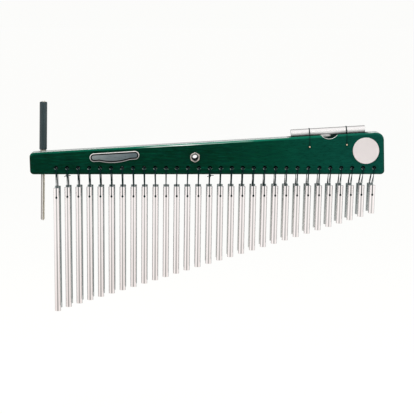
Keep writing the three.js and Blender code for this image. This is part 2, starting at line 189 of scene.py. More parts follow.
def tube(path, radius, side=(1, 0, 0), sides=9):
    """A circle carried along a path, square to its direction at each point. The side vector says where the
    circle starts, and no part of the path runs along it. A path that ends where it began closes."""
    ahead = np.gradient(path, axis=0)
    if np.allclose(path[0], path[-1]):
        ahead[[0, -1]] = path[1] - path[-2]
    ahead = ahead / np.linalg.norm(ahead, axis=1, keepdims=True)
    side = np.asarray(side, float)
    across = side - (ahead @ side)[:, None] * ahead
    across = across / np.linalg.norm(across, axis=1, keepdims=True)
    other = np.cross(ahead, across)
    turn = np.linspace(0, 2 * np.pi, sides, endpoint=False)[None, :, None]
    return path[:, None] + radius * (across[:, None] * np.cos(turn) + other[:, None] * np.sin(turn))


# %% Placing a finished piece
def add_piece(name, mesh, finish, body, nodes, crease=35):
    """Puts a mesh into the scene: smooth but for edges sharper than the crease, in a finish, on a body."""
    piece = add_object(name, mesh)
    mesh.materials.clear()
    mesh.materials.append(finish)
    mesh.polygons.foreach_set("use_smooth", np.ones(len(mesh.polygons), bool))
    mesh.set_sharp_from_angle(angle=math.radians(crease))
    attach(piece, body)
    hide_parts(*nodes)
    return piece


def cut_away(mesh, *cutters):
    """The mesh with each cutter's room taken out of it by an exact Boolean."""
    block = add_object("block", mesh)
    tools = [add_object("cutter", cutter) for cutter in cutters]
    for tool in tools:
        step = block.modifiers.new("cut", "BOOLEAN")
        step.operation = "DIFFERENCE"
        step.solver = "EXACT"
        step.object = tool
    result = bpy.data.meshes.new_from_object(block.evaluated_get(bpy.context.evaluated_depsgraph_get()))
    for used in tools + [block]:
        bpy.data.objects.remove(used)
    return result


# %% [markdown]
# ## Main sizes
# Sizes that more than one piece needs are set first, in millimetres from the middle of the stand bushing.
# The finishes need them too, because stain gathers in the holes and wears off along the edges.

# %% Board, holes, bell bar and thumb notch on the drawing
board_left, board_right, board_bottom, half_board = -262.8, 302.5, -27.6, 12.5
low_end_height = 35.1
taper = math.radians(3.36)
edge_round, edge_depth = 4.5, 2.4


def board_top(x):
    """Height of the sloping top edge."""
    return board_bottom + low_end_height + (x - board_left) * math.tan(taper)


bar_count, bar_pitch, first_hole = 30, 17.5, -221
cord_hole_z = board_bottom + 10.5
bell_radius, bell_half, bell_rise = 5.5, 59.5, 5.8
bell_x = board_right - 89.8
bell_z = board_top(bell_x + bell_rise * math.sin(taper)) + bell_rise * math.cos(taper)
groove_radius, groove_end = 9.5, bell_half + 8
notch_width, notch_depth = 26, 6
notch_x = bell_x + 1.1
notch_radius = (notch_width ** 2 / 4 + notch_depth ** 2) / (2 * notch_depth)
notch_z = board_top(notch_x) + notch_radius - notch_depth
print("board", board_right - board_left, "mm long, bell bar at", np.round([bell_x, bell_z], 1))

# %% [markdown]
# ## Finishes
# A finish is a network of nodes that ends in the Principled shader. An image could be wrapped round a
# piece, but noise that is stretched the way the material was worked does more with less. A pattern here can
# be added, multiplied and compared, and each sign makes a Math node, so that a network reads as a formula.

# %% Patterns and the nodes that make them
def fill(node, inputs):
    """Links the patterns among a node's inputs and sets the other values there. A colour gets its alpha."""
    for socket, value in inputs.items():
        entry = node.inputs[socket]
        if isinstance(value, Pattern):
            node.id_data.links.new(value.socket, entry)
        else:
            entry.default_value = (*value, 1.0) if entry.type == "RGBA" else value


def add_node(finish, kind, output, inputs, **settings):
    """A node of one kind with its settings and inputs, as the pattern that one of its outputs gives."""
    made = finish.node_tree.nodes.new("ShaderNode" + kind)
    for setting, value in settings.items():
        setattr(made, setting, value)
    fill(made, inputs)
    return Pattern(finish, made.outputs[output])


class Pattern:
    """A value or a colour that changes over a surface."""

    def __init__(self, finish, socket):
        self.finish = finish
        self.socket = socket

    def step(self, how, *others):
        """One Math node, whose first input is this pattern."""
        return add_node(self.finish, "Math", "Value", dict(enumerate((self, *others))), operation=how)

    __add__ = partialmethod(step, "ADD")
    __sub__ = partialmethod(step, "SUBTRACT")
    __mul__ = partialmethod(step, "MULTIPLY")
    __pow__ = partialmethod(step, "POWER")
    __lt__ = partialmethod(step, "LESS_THAN")
    __abs__ = partialmethod(step, "ABSOLUTE")


# %% Noise, coordinates, ramps and blends
def noise(finish, stretch, detail=3, roughness=0.6, distortion=0.0, source="Object"):
    """Noise whose grains are drawn out: the coordinates are scaled by its own amount along each axis."""
    place = add_node(finish, "TexCoord", source, {})
    drawn = add_node(finish, "Mapping", "Vector", {"Vector": place, "Scale": stretch})
    return add_node(finish, "TexNoise", "Fac", {"Vector": drawn, "Scale": 1.0, "Detail": detail,
                                                "Roughness": roughness, "Distortion": distortion})


def split(vector):
    """The X, Y and Z of a vector, as three patterns."""
    parts = add_node(vector.finish, "SeparateXYZ", "X", {"Vector": vector}).socket.node.outputs
    return [Pattern(vector.finish, part) for part in parts]


def facing(finish):
    """Which way the surface looks: X, Y and Z of its normal."""
    return split(add_node(finish, "TexCoord", "Normal", {}))


def place_mm(finish):
    """Where a point lies on the drawing, in millimetres."""
    return [axis * (1 / MM) for axis in split(add_node(finish, "TexCoord", "Object", {}))]


def ramp(value, stops):
    """A colour ramp through (position, colour) stops. A single number stands for a grey."""
    tones = add_node(value.finish, "ValToRGB", "Color", {"Fac": value})
    band = tones.socket.node.color_ramp.elements
    band[0].position, band[1].position = stops[0][0], stops[-1][0]
    for position, _ in stops[1:-1]:
        band.new(position)
    for element, (_, colour) in zip(band, stops):
        element.color = (*np.broadcast_to(colour, 3), 1.0)
    return tones


def ranged(value, start, end, low=0.0, high=1.0):
    """A value that goes from start to end, mapped evenly to low to high and held there outside."""
    limits = {"From Min": start, "From Max": end, "To Min": low, "To Max": high}
    return add_node(value.finish, "MapRange", "Result", {"Value": value, **limits})


def spread(value, low, high):
    """Noise, which stays near the middle of 0 to 1, mapped to a range of its own."""
    return ranged(value, 0.3, 0.7, low, high)


def two_tone(value, dull, bright):
    """A colour that follows noise from a dull tone to a bright one."""
    return ramp(value, [(0.3, dull), (0.7, bright)])


def blended(share, first, second, how="MIX"):
    """Two colours blended by a share."""
    finish = next(entry.finish for entry in (share, first, second) if isinstance(entry, Pattern))
    return add_node(finish, "Mix", 2, {0: share, 6: first, 7: second}, data_type="RGBA", blend_type=how)


# %% Feeding the shader
def dress(finish, **inputs):
    """Links patterns to the Principled shader's inputs, and sets numbers that are the same all over."""
    shader = finish.node_tree.nodes["Principled BSDF"]
    fill(shader, {socket.replace("_", " "): value for socket, value in inputs.items()})


def new_finish(name, **fixed):
    """A material with a Principled shader and its unchanging inputs."""
    finish = bpy.data.materials.new(name)
    finish.use_nodes = True
    dress(finish, **fixed)
    return finish


def told(finish):
    """Prints how many nodes a finish has so far."""
    print(finish.name, "has", len(finish.node_tree.nodes), "nodes")


def roughened(height, strength, depth):
    """A bump from a height pattern, at a depth in metres."""
    inputs = {"Height": height, "Strength": strength, "Distance": depth}
    dress(height.finish, Normal=add_node(height.finish, "Bump", "Normal", inputs))


def mottled(name, grain, stops, smooth, rough, detail=3, **fixed):
    """A finish in which one even noise gives the colour, through a ramp, and the roughness."""
    finish = new_finish(name, **fixed)
    spots = noise(finish, (grain, grain, grain), detail=detail)
    dress(finish, Base_Color=ramp(spots, stops), Roughness=spread(spots, smooth, rough))
    return finish, spots


# %% [markdown]
# ## The stained wood
# The board is stained dark green, with long grain, cloudy patches and fine pores, and paler and bluer to its
# tall end: partly the stain's tone, partly a painted reflection of light from the right. A Wave Texture
# could make rings, as on a sawn log, but long, thin noise is closer to a planed board. The layers lie as in
# the workshop: stain, clouds, flecks and pores.

# %% Stain, clouds, flecks, pores and painted light at the tall end
wood = new_finish("stained_wood", Specular_IOR_Level=0.035, Coat_Roughness=0.12)
wood_x, wood_y, wood_z = place_mm(wood)
wood_side, _, wood_up = facing(wood)
grain = noise(wood, (48, 420, 420), detail=5, roughness=0.62, distortion=0.35)
clouds = noise(wood, (7, 34, 34), detail=2)
pores = noise(wood, (150, 2600, 2600), detail=2)
flecks = noise(wood, (110, 520, 520))
stain = ramp(grain, [(0.30, (0.0002, 0.014, 0.006)), (0.52, (0.0003, 0.032, 0.015)),
                     (0.72, (0.0005, 0.072, 0.037))])
shaded = blended(spread(clouds, 0.0, 0.6), stain, (0.0002, 0.022, 0.010))
brighter = blended(ranged(wood_x, 20, 160, 0.0, 0.45), shaded, (0.0012, 0.078, 0.044))
# towards the tall end the green turns paler and bluer: partly stain, partly a painted reflection of light
# from the right
tall_end_painted_light = blended(ranged(wood_x, 120, 300, 0.0, 0.45), brighter, (0.006, 0.082, 0.070))
flecked = blended(ranged(flecks, 0.55, 0.35, 0.0, 0.45), tall_end_painted_light, (0.0006, 0.030, 0.022))
grained = blended(ramp(pores, [(0.30, 1), (0.42, 0)]), flecked, (0.0003, 0.012, 0.008))
told(wood)

# %% [markdown]
# ## Painted edge highlights
# The rounded edges, where they face up, are painted a lighter green as a painted highlight, palest along the
# arris at the top as a painted reflection, and near the middle painted white streaks stand for glare.
# Pointiness could find edges, but here the places are known: an edge is where the depth passes the start of
# the rounding, and the normal says which way it looks.

# %% Painted edge highlight, painted arris reflection and painted glare streaks
depth_in = abs(wood_y)
on_edge = ranged(depth_in, half_board - edge_depth, half_board - edge_depth + 0.4)
# painted highlight: the up-facing parts of the rounded edges are painted a lighter green, brightest near the
# middle
upward_edge = ramp(wood_up, [(0.05, 0), (0.20, 1), (0.85, 1), (0.96, 0)])
edge_highlight_tone = ramp(ranged(wood_x, -260, 300), [
    (0.0, (0.001, 0.068, 0.040)), (0.25, (0.0015, 0.108, 0.060)), (0.38, (0.008, 0.175, 0.110)),
    (0.55, (0.012, 0.180, 0.115)), (0.72, (0.003, 0.120, 0.068)), (1.0, (0.004, 0.078, 0.055))])
painted_edge_light = blended(upward_edge * on_edge, grained, edge_highlight_tone)
bell_side = abs(wood_x - bell_x)
beside_bell = ranged(bell_side, 60, 66)
# painted reflection: a pale grey along the arris at the top, away from the bell bar
arris = ranged(wood_up, 0.58, 0.74) * ranged(wood_up, 0.999, 0.98) * on_edge * beside_bell
painted_arris_glare = blended(arris, painted_edge_light, (0.42, 0.47, 0.45))
# painted highlight: white glare streaks along the front edge near the middle
glare_line = ramp(wood_up, [(0.10, 0), (0.16, 1), (0.28, 1), (0.38, 0)])
streaks = noise(wood, (9, 500, 500))
glare = spread(streaks, -0.2, 1.3) * ranged(abs(wood_x), 95, 50)
painted_glare_streaks = blended(glare_line * on_edge * glare, painted_arris_glare, (0.80, 0.86, 0.82))
told(wood)

# %% [markdown]
# ## Holes, groove and thumb notch
# Painted shade leaves the cord holes nearly black, and painted highlights make their lower lips grey. The
# groove under the bell bar has painted shade too, and the thumb notch has painted highlights on its rim and
# on the low side of the far wall, with painted shade elsewhere inside. These could be painted by hand, but a
# distance from an axis, as a sum of squares, finds each place.

# %% Painted shade in the holes and painted highlights on their lips
lip_reach, row_margin = 3.6, 7.5
hole_reach = (wood_x - first_hole).step("PINGPONG", bar_pitch / 2) ** 2 + (wood_z - cord_hole_z) ** 2
near_hole = (hole_reach < lip_reach ** 2) * (wood_x < board_right - row_margin)
# painted shade: the cord holes are painted nearly black inside
painted_hole_shade = blended(near_hole * (depth_in < half_board - 0.2), painted_glare_streaks, (0.0002, 0.003, 0.002))
# painted highlight: grey glints on the holes' lower lips, stronger on the left side
lip_side = ramp(ranged(wood_side, -1, 1), [(0.30, 0.22), (0.44, 0), (0.54, 0), (0.62, 1)])
lit_lip = near_hole * ranged(depth_in, 10.8, 11.2) * lip_side * ranged(wood_up, 0.15, 0.40)
painted_hole_lips = blended(lit_lip, painted_hole_shade, (0.19, 0.22, 0.21))
told(wood)

# %% Painted shade in the groove, painted light in the notch, and a polished top
over_axis = wood_z - (wood_x - bell_x) * math.tan(taper) - bell_z
in_groove = (over_axis ** 2 + wood_y ** 2 < (groove_radius + 0.25) ** 2) * (bell_side < groove_end - 2)
# painted shade: the groove under the bell bar is painted nearly black
painted_groove_shade = blended(in_groove, painted_hole_lips, (0.0002, 0.008, 0.006))
notch_side = wood_x - notch_x
notch_reach = notch_side ** 2 + (wood_z - notch_z) ** 2
far_wall, rim_reach = 7.5, 0.567
in_notch = (notch_reach < (notch_radius + rim_reach) ** 2) * (wood_y < far_wall)
notch_way = ranged(wood_y, -half_board, far_wall)
# painted light in the thumb notch: a painted highlight on its front rim and on the low side of the far wall,
# painted shade elsewhere inside
painted_rim_highlight, unlit, painted_wall_highlight = (0.62, 0.63, 0.61), (0.002, 0.020, 0.015), (0.84, 0.84, 0.82)
high_side = ramp(notch_way, [(0.03, painted_rim_highlight), (0.07, unlit)])
low_side = ramp(notch_way, [(0.03, painted_rim_highlight), (0.07, unlit), (0.76, unlit), (0.82, painted_wall_highlight)])
painted_notch_light = blended(in_notch, painted_groove_shade, blended(ranged(notch_side, 5, 1), high_side, low_side))
bare_top = ranged(in_groove.step("MAXIMUM", in_notch), 0, 1, 1, 0) * beside_bell
polish = ranged(wood_up, 0.80, 0.95, 0.0, 0.42) * bare_top
dress(wood, Base_Color=painted_notch_light, Roughness=spread(grain, 0.18, 0.12), Coat_Weight=polish)
roughened(pores, 0.10, 0.00012)
told(wood)

# %% [markdown]
# ## Bar and bell metal
# The bars are bright drawn rod with faint streaks, and their top ends are painted dark: partly a dull saw
# cut, partly a painted reflection of the dark board above. The rear bars are a darker, shaded copy of that
# metal with painted shade, more under the board and to both ends of the row, and the satin bell bar mirrors
# less below. A metal's colour is all in its reflection, so noise mostly changes the roughness, and the
# painted shade multiplies the colour.

# %% Drawn bars, shaded rear bars with painted shade, and satin bell
def drawn_metal(name, dull, bright, smooth, rough):
    """Rod as it leaves the die: faint streaks along its length, and a dark top end, partly a dull saw cut
    and partly a painted reflection of the board above.
    """
    finish = new_finish(name, Metallic=1.0)
    drawing = noise(finish, (0.03, 40, 1), detail=2, source="UV")
    handling = noise(finish, (0.05, 3, 1), detail=2, source="UV")
    # the top end's dark colour: partly a dull saw cut, partly a painted reflection of the dark board above
    dark_top_end = ranged(facing(finish)[2], 0.80, 0.95)
    tone = blended(dark_top_end, two_tone(handling, dull, bright), (0.20, 0.24, 0.24))
    dress(finish, Base_Color=tone, Roughness=spread(drawing, smooth, rough))
    return finish, tone


bar_metal, _ = drawn_metal("bar_metal", (0.93, 0.905, 0.90), (0.97, 0.945, 0.94), 0.06, 0.09)
# painted shade: the rear bars' metal is a darker, shaded copy of the front bars' metal
shaded_rear_metal, shaded_rear_tone = drawn_metal("bar_metal_rear_shaded", (0.86, 0.885, 0.88), (0.93, 0.94, 0.935), 0.05, 0.08)
rear_x, _, rear_z = place_mm(shaded_rear_metal)
# painted shade: the rear bars darken towards both ends of the row
row_end_shade = ramp(ranged(rear_x, -220, 290), [
    (0.0, (0.62, 0.66, 0.66)), (0.15, (0.78, 0.80, 0.80)), (0.42, (0.86, 0.87, 0.86)),
    (0.58, (0.98, 0.97, 0.95)), (0.80, (0.95, 0.95, 0.94)), (0.90, (0.74, 0.77, 0.77)),
    (1.0, (0.74, 0.77, 0.77))])
# painted shade: the rear bars darken higher up, under the board
board_shadow_tone = ramp(ranged(rear_z, -110, -40), [
    (0.0, 1), (0.45, (0.90, 0.91, 0.91)), (0.85, (0.64, 0.69, 0.69)), (1.0, (0.54, 0.60, 0.60))])
# the two painted shades, multiplied together and then into the rear bars' colour
painted_rear_shade = blended(1.0, row_end_shade, board_shadow_tone, "MULTIPLY")
dress(shaded_rear_metal, Base_Color=blended(1.0, shaded_rear_tone, painted_rear_shade, "MULTIPLY"))

bell_metal = new_finish("bell_metal")
satin = noise(bell_metal, (0.06, 30, 1), detail=2, source="UV")
dress(bell_metal, Base_Color=two_tone(satin, (0.93, 0.905, 0.895), (0.97, 0.945, 0.935)),
      Metallic=ranged(facing(bell_metal)[2], -0.15, 0.35, 0.1, 1.0), Roughness=spread(satin, 0.24, 0.30))
told(shaded_rear_metal)

# %% [markdown]
# ## Fittings' metal
# The ferrule is nickel-plated, the beater's rod has painted reflections, dark and bright lines along it, the
# bushing is mottled by stand rods and near-black inside, and the pins are brass. One even noise gives most
# of these their colour and roughness together. The painted reflection lines follow the normal, so they run
# along the rod.

# %% Nickel, bushing, near-black bore, rod with painted reflections, and brass
nickel = new_finish("nickel", Metallic=1.0)
bloom = noise(nickel, (220, 220, 220), detail=2)
plating = noise(nickel, (900, 900, 120))
dress(nickel, Base_Color=two_tone(bloom, (0.66, 0.62, 0.55), (0.80, 0.76, 0.70)),
      Roughness=spread(plating, 0.07, 0.14))

bushing_metal, _ = mottled("bushing_metal", 260, [
    (0.36, (0.13, 0.145, 0.145)), (0.48, (0.46, 0.43, 0.39)), (0.62, (0.74, 0.68, 0.62))],
    0.10, 0.22, detail=2, Metallic=1.0)
# the bushing's bore is near-black
dark_bore_finish, _ = mottled("dark_bore", 900, [(0.3, (0.008, 0.012, 0.012)), (0.7, (0.016, 0.022, 0.022))],
                       0.7, 0.9, Specular_IOR_Level=0.1)

rod_metal = new_finish("rod_metal", Metallic=0.5)
rubbing = noise(rod_metal, (900, 900, 20))
# painted reflections: dark and bright lines along the rod, set by which way its surface faces
bright_line, dark_line = (0.97, 0.95, 0.91), (0.13, 0.125, 0.11)
painted_reflection_lines = ramp(ranged(facing(rod_metal)[0], -1, 1), [
    (0.16, (0.14, 0.13, 0.12)), (0.28, (0.34, 0.32, 0.30)), (0.34, bright_line), (0.53, bright_line),
    (0.57, dark_line), (0.70, dark_line), (0.76, (0.92, 0.84, 0.68))])
dress(rod_metal, Base_Color=blended(spread(rubbing, 0.0, 0.15), painted_reflection_lines, (0.60, 0.56, 0.48)),
      Roughness=spread(rubbing, 0.08, 0.16))

brass, brass_spots = mottled("brass", 700, [(0.3, (0.80, 0.63, 0.38)), (0.7, (0.92, 0.78, 0.54))],
                             0.22, 0.36, Metallic=1.0)
roughened(brass_spots, 0.05, 0.00005)
print("finishes so far:", len(bpy.data.materials))

# %% [markdown]
# ## Plate and badge
# The plate is cast: a rim that is bright above and greyer below as painted shade, a near-black line in the
# hollow at its foot, and a brushed grey field. The round badge has a pale, faintly flecked face. A mask
# could be painted, but two numbers on each point of the plate's mesh, how hollow it lies and how low, tell
# the finish where it is.

# %% Cast plate and pale face
plate_metal = new_finish("plate_metal", Metallic=0.75)
hollow = add_node(plate_metal, "Attribute", "Fac", {}, attribute_name="hollow")
lowness = add_node(plate_metal, "Attribute", "Fac", {}, attribute_name="lowness")
casting = noise(plate_metal, (40, 40, 70), detail=4, roughness=0.45)
brushing = noise(plate_metal, (60, 60, 1500), detail=2)
# the field is lighter towards its left end
lighter_to_left = ranged(place_mm(plate_metal)[0], -160, -100, 0.45, 0.10)
field = ramp(casting * 0.5 + lighter_to_left, [(0.35, (0.13, 0.17, 0.185)), (0.70, (0.30, 0.345, 0.35))])
# painted shade: the plate's rim is bright above and greyer lower down
rim_painted_shade = ramp(lowness, [(0.0, (1.0, 0.96, 0.94)), (0.5, (0.90, 0.86, 0.84)), (1.0, (0.40, 0.39, 0.38))])
# the hollow at the rim's foot is near-black
dark_hollow = blended(hollow, rim_painted_shade, (0.002, 0.004, 0.004))
on_field = hollow.step("COMPARE", 0.5, 0.12)
dress(plate_metal, Base_Color=blended(on_field, dark_hollow, field), Roughness=spread(brushing, 0.26, 0.42))

badge_face = new_finish("badge_face", Specular_IOR_Level=0.4)
specks = noise(badge_face, (1400, 1400, 1400))
toning = noise(badge_face, (40, 40, 40), detail=2)
paper = two_tone(toning, (0.67, 0.62, 0.605), (0.72, 0.665, 0.65))
dress(badge_face, Base_Color=blended(spread(specks, 0.0, 0.10), paper, (0.55, 0.51, 0.50)),
      Roughness=spread(toning, 0.40, 0.50))
roughened(specks, 0.05, 0.00005)
told(plate_metal)

# %% [markdown]
# ## Grip, rubber and cord
# The grip is a hard black sleeve with a pebbled skin, and the grommet is dull rubber. The cord is braided:
# two sets of strands wind round it in opposite ways, and whichever lies on top shows. An image of a braid
# would have a seam, but two sine waves over the cord's own UV map, one for each way, have none.

# %% Pebbled grip, dull rubber and braid
grip = new_finish("grip", Specular_IOR_Level=0.5)
pebbles = noise(grip, (1500, 1500, 700))
wear = noise(grip, (160, 160, 30))
dress(grip, Base_Color=two_tone(wear, (0.009, 0.024, 0.027), (0.017, 0.037, 0.041)),
      Roughness=spread(pebbles, 0.28, 0.38))
roughened(pebbles, 0.15, 0.0001)

rubber, chalk = mottled("rubber", 600, [(0.3, (0.010, 0.014, 0.014)), (0.7, (0.020, 0.027, 0.027))],
                        0.80, 0.92, Specular_IOR_Level=0.03)
roughened(chalk, 0.10, 0.0001)

cord = new_finish("cord", Specular_IOR_Level=0.03, Roughness=0.85)
cord_run, cord_turn, _ = split(add_node(cord, "UVMap", "UV", {}, uv_map="run"))
strands, strand_slant = 4, 4.2
left_hand, right_hand = [(cord_turn * (way * strands * 2 * math.pi) + cord_run * strand_slant).step("SINE")
                         for way in (1, -1)]
braid = left_hand.step("MAXIMUM", right_hand)
dress(cord, Base_Color=ramp(braid, [(0.1, (0.0015, 0.010, 0.011)), (0.9, (0.005, 0.025, 0.026))]))
roughened(braid, 0.4, 0.0002)
told(cord)

# %% [markdown]
# ## The board
# The board is one piece of wood, taller at its right end, with rounded corners and edges. An extruded curve
# with a bevel would do, but with corner centres plus a radius times a direction, drawing the outline in is
# only a smaller radius. The holes are drilled afterwards, as in the workshop, by exact Booleans.

# %% Board outline and blank
end_lean = math.tan(math.radians(1.6))
lean_stretch = math.sqrt(1 + end_lean ** 2)
corner, top_corner, low_top_corner = 6, 13, 8


def corner_arc(centre, radius, start, end, steps=14):
    """Centre, radius and outward direction of each outline point round one corner."""
    angle = np.radians(np.linspace(start, end, steps))
    outward = np.stack([np.cos(angle), np.sin(angle)], axis=1)
    return np.tile(centre, (steps, 1)), np.full(steps, radius), outward


def end_x(end, z):
    """Where a leaning end is at a height: half of its lean to each side of its middle."""
    return end + end_lean * ((board_bottom + board_top(end)) / 2 - z)


def high_corner(end, radius, inward):
    """Centre of an upper corner's arc: a radius from the end's line and a radius from the top's line."""
    z = board_top(end) - radius
    for _ in range(4):
        x = end_x(end, z) + inward * radius * lean_stretch
        z = board_top(x) - radius / math.cos(taper)
    return x, z


slope, lean = math.degrees(taper), math.degrees(math.atan(end_lean))
low_z = board_bottom + corner
left_x, right_x = [end_x(end, low_z) + inward * corner * lean_stretch
                   for end, inward in ((board_left, 1), (board_right, -1))]
centres, radii, outward = (np.concatenate(column) for column in zip(
    corner_arc((left_x, low_z), corner, 180 + lean, 270),
    corner_arc((right_x, low_z), corner, 270, 360 + lean),
    corner_arc(high_corner(board_right, top_corner, -1), top_corner, lean, 90 + slope, 22),
    corner_arc(high_corner(board_left, low_top_corner, 1), low_top_corner, 90 + slope, 180 + lean)))

edge_steps = 8
edge_turn = np.radians(np.concatenate([np.linspace(90, 0, edge_steps), np.linspace(0, -90, edge_steps)]))
edge_y = np.repeat([1, -1], edge_steps) * (half_board - edge_depth) + edge_depth * np.sin(edge_turn)
edge_inset = edge_round * (1 - np.cos(edge_turn))
outline = centres[None] + (radii[None, :, None] - edge_inset[:, None, None]) * outward[None]
blank = np.insert(outline, 1, edge_y[:, None], axis=2)
board_mesh = skin("board_blank", blank)
print("board blank:", len(board_mesh.polygons), "faces")

# %% Places of the holes and the bars
def smooth_step(values, start, end):
    """Goes from 0 to 1 between start and end, level at both: 3 t squared less 2 t cubed."""
    t = np.clip((values - start) / (end - start), 0, 1)
    return t * t * (3 - 2 * t)


longest_bar, shortest_bar, hole_drop = 198.6, 45.6, 15.2
bar_radius, row_y, bar_hang = 4.75, 16.0, 19.1
# along the row the bars drift left in two places and lean more and more, and the first ones hang lower
share = np.linspace(0, 1, bar_count)
cord_hole_x = first_hole + bar_pitch * np.arange(bar_count)
bar_x = cord_hole_x + 0.6 - 1.6 * smooth_step(share, 0.3, 0.42) - 2.4 * smooth_step(share, 0.82, 1)
bar_length = longest_bar + (shortest_bar - longest_bar) * share
bar_lean = np.radians(-0.2 + 2.0 * share)
bar_top = board_bottom - bar_hang - 2 * 0.3 ** np.arange(bar_count) + 2.5 * share ** 2
hole_z = bar_top - hole_drop
swings = {joint["child"]: joint["pos_m"] for joint in frame["joints"] if joint["type"] == "hinge"}
measured = np.array([swings[f"front_bar_{k + 1:02d}"] for k in range(bar_count)]) / MM
pivots = points_of(bar_x, -row_y, hole_z)
print("largest offset from the measured pivots, mm:", np.round(np.abs(measured - pivots).max(), 3))

# %% Drills for the cords, the bushing and the pins
past = half_board + 1
cord_drill = turned([(4.3, -past), (3.4, -half_board), (2.4, -half_board + 0.9), (1.6, -half_board + 2.2),
                     (1.6, half_board - 0.6), (2.6, half_board), (3.5, past)], 28)
drills = [lying_back(cord_drill) + [x, 0, cord_hole_z] for x in cord_hole_x]
bushing_hole, pin_hole, pin_drop, tie_reach = 5.8, 1.2, 17.2, 29.7
drills.append(lying_back(turned([(bushing_hole, -past), (bushing_hole, past)], 56)))
top_direction = np.array([math.cos(taper), 0, math.sin(taper)])
bell_centre = np.array([bell_x, 0, bell_z])
cord_places = {side: bell_centre + reach * top_direction
               for side, reach in (("left", -tie_reach), ("right", tie_reach))}
pin_places = {side: np.array([at[0], 0, board_top(at[0]) - pin_drop]) for side, at in cord_places.items()}
pin_drill = turned([(pin_hole, -past), (pin_hole, past)], 16)
drills += [lying_back(pin_drill) + at for at in pin_places.values()]
print("drills:", len(drills))

# %% Groove, thumb notch and beater's hole, and the cut
groove_half = groove_end - groove_radius
groove = turned(arc((0, -groove_half), groove_radius, -89, 0, 9)
                + arc((0, groove_half), groove_radius, 0, 89, 9), 64)
groove_cut = leaning(groove, math.pi / 2 - taper) + bell_centre
notch = turned([(notch_radius + 2, -past - 1.5), (notch_radius, -half_board + 0.5), (notch_radius, -2.5),
                (notch_radius - 1.8, -0.6), (notch_radius - 5, 0)], 120)
notch_cut = lying_back(notch) + [notch_x, 0, notch_z]

beater_x, beater_lean = board_left + 20.6, math.radians(1)
rod_radius, rod_bore, seat_radius, sleeve_radius, sleeve_depth = 3.0, 3.3, 6.8, 5.2, 9.3
seat_z = board_top(beater_x - seat_radius) - 2.0
rod_drill = turned([(rod_bore, board_bottom - 1), (rod_bore, seat_z - sleeve_depth),
                    (sleeve_radius, seat_z - sleeve_depth), (sleeve_radius, seat_z), (seat_radius, seat_z),
                    (seat_radius, board_top(beater_x) + 4)], 48)


def stood(points):
    """Stands an upright turned piece in the beater's place, leaning about its seat."""
    return leaning(points - [0, 0, seat_z], beater_lean) + [beater_x, 0, seat_z]


board_cut = cut_away(board_mesh, skin("drills", *drills), skin("groove", groove_cut),
                     skin("notch", notch_cut), skin("rod_drill", stood(rod_drill)))
board = add_piece("board", board_cut, wood, "board", ["mantle"], crease=28)
evening = board.modifiers.new("even_faces", "WEIGHTED_NORMAL")
evening.keep_sharp = True
print("board:", len(board_cut.polygons), "faces after drilling")

# %% [markdown]
# ## The stand bushing
# A hex-headed sleeve goes through the board for a stand's rod, and a nut holds it from behind. One could
# bevel a six-sided cylinder, but a real head is turned from hexagonal stock, so its shape is the smaller of
# the lathe's radius and the hexagon's reach, which grows to a corner as one over a cosine.

# %% Bushing and nut
half_corners, hex_sides = 8.75, 120
flats = half_corners * math.cos(math.pi / 6)
hex_turn = np.linspace(0, 2 * np.pi, hex_sides, endpoint=False)
hexagon = flats / np.cos(np.mod(hex_turn + np.pi / 6, np.pi / 3) - np.pi / 6)
head = [(5.35, -15.2), (5.45, -15.6), (5.7, -15.75), (6.7, -15.7), (7.4, -15.4), (8.0, -14.8),
        (8.35, -14.0), (8.4, -12.6), (8.2, -12.5), (5.5, -12.5)]
sleeve = [(5.5, 15.1), (5.25, 15.4), (4.3, 15.4), (4.0, 15.1), (4.0, -15.2), (4.25, -15.5), (4.9, -15.5),
          (5.05, -15.2)]
bushing_profile = np.array(head + sleeve + head[:1])
bushing_grid = lying_back(turned(bushing_profile, hex_sides, hexagon))
bushing = add_piece("bushing", skin("bushing", bushing_grid), bushing_metal, "board", ["mount_bushing"],
                    crease=24)
bushing.data.materials.append(dark_bore_finish)
bore_reach = 5.4
in_bore = np.maximum(bushing_profile[:-1, 0], bushing_profile[1:, 0]) < bore_reach
bushing.data.polygons.foreach_set("material_index", np.repeat(in_bore, hex_sides).astype(np.int32))
nut_profile = [(5.8, 12.8), (6.1, 12.5), (8.7, 12.5), (8.9, 12.6), (8.9, 14.6), (8.1, 15.1), (7.5, 15.45),
               (7.0, 15.7), (6.1, 15.7), (5.8, 15.4), (5.8, 12.8)]
nut_grid = lying_back(turned(nut_profile, hex_sides, hexagon))
nut = add_piece("bushing_nut", skin("bushing_nut", nut_grid), bushing_metal, "board", ["mount_nut"],
                crease=24)
print("bushing and nut:", len(bushing.data.polygons), len(nut.data.polygons), "faces")

# %% [markdown]
# ## The nameplate and the round badge
# The plate is a thin casting with a raised rim, and its lower edge swells in the middle. It stays bare
# here, and so does the round badge. A solid could be bevelled to get the rim, but a rim's section that is
# carried round the outline keeps its width everywhere.

# %% Plate outline carried through a rim's section
plate_length, plate_end, belly_half, belly_swell = 79, 6.8, 24, 3.3


def plate_ring(inset, depth, steps=28):
    """Outline drawn in by an inset: half-round ends, a straight top and a parabola's belly below."""
    end, middle = plate_end - inset, plate_length / 2 - plate_end
    right, left = np.radians([np.linspace(-90, 90, steps), np.linspace(90, 270, steps)])
    top = np.linspace(middle, -middle, 24)[1:-1]
    low = np.linspace(-middle, middle, 60)[1:-1]
    swell = belly_swell * np.clip(1 - (low / belly_half) ** 2, 0, None)
    x = np.concatenate([middle + end * np.cos(right), top, end * np.cos(left) - middle, low])
    z = np.concatenate([end * np.sin(right), np.full(len(top), end), end * np.sin(left), -end - swell])
    return points_of(x, -depth, z)


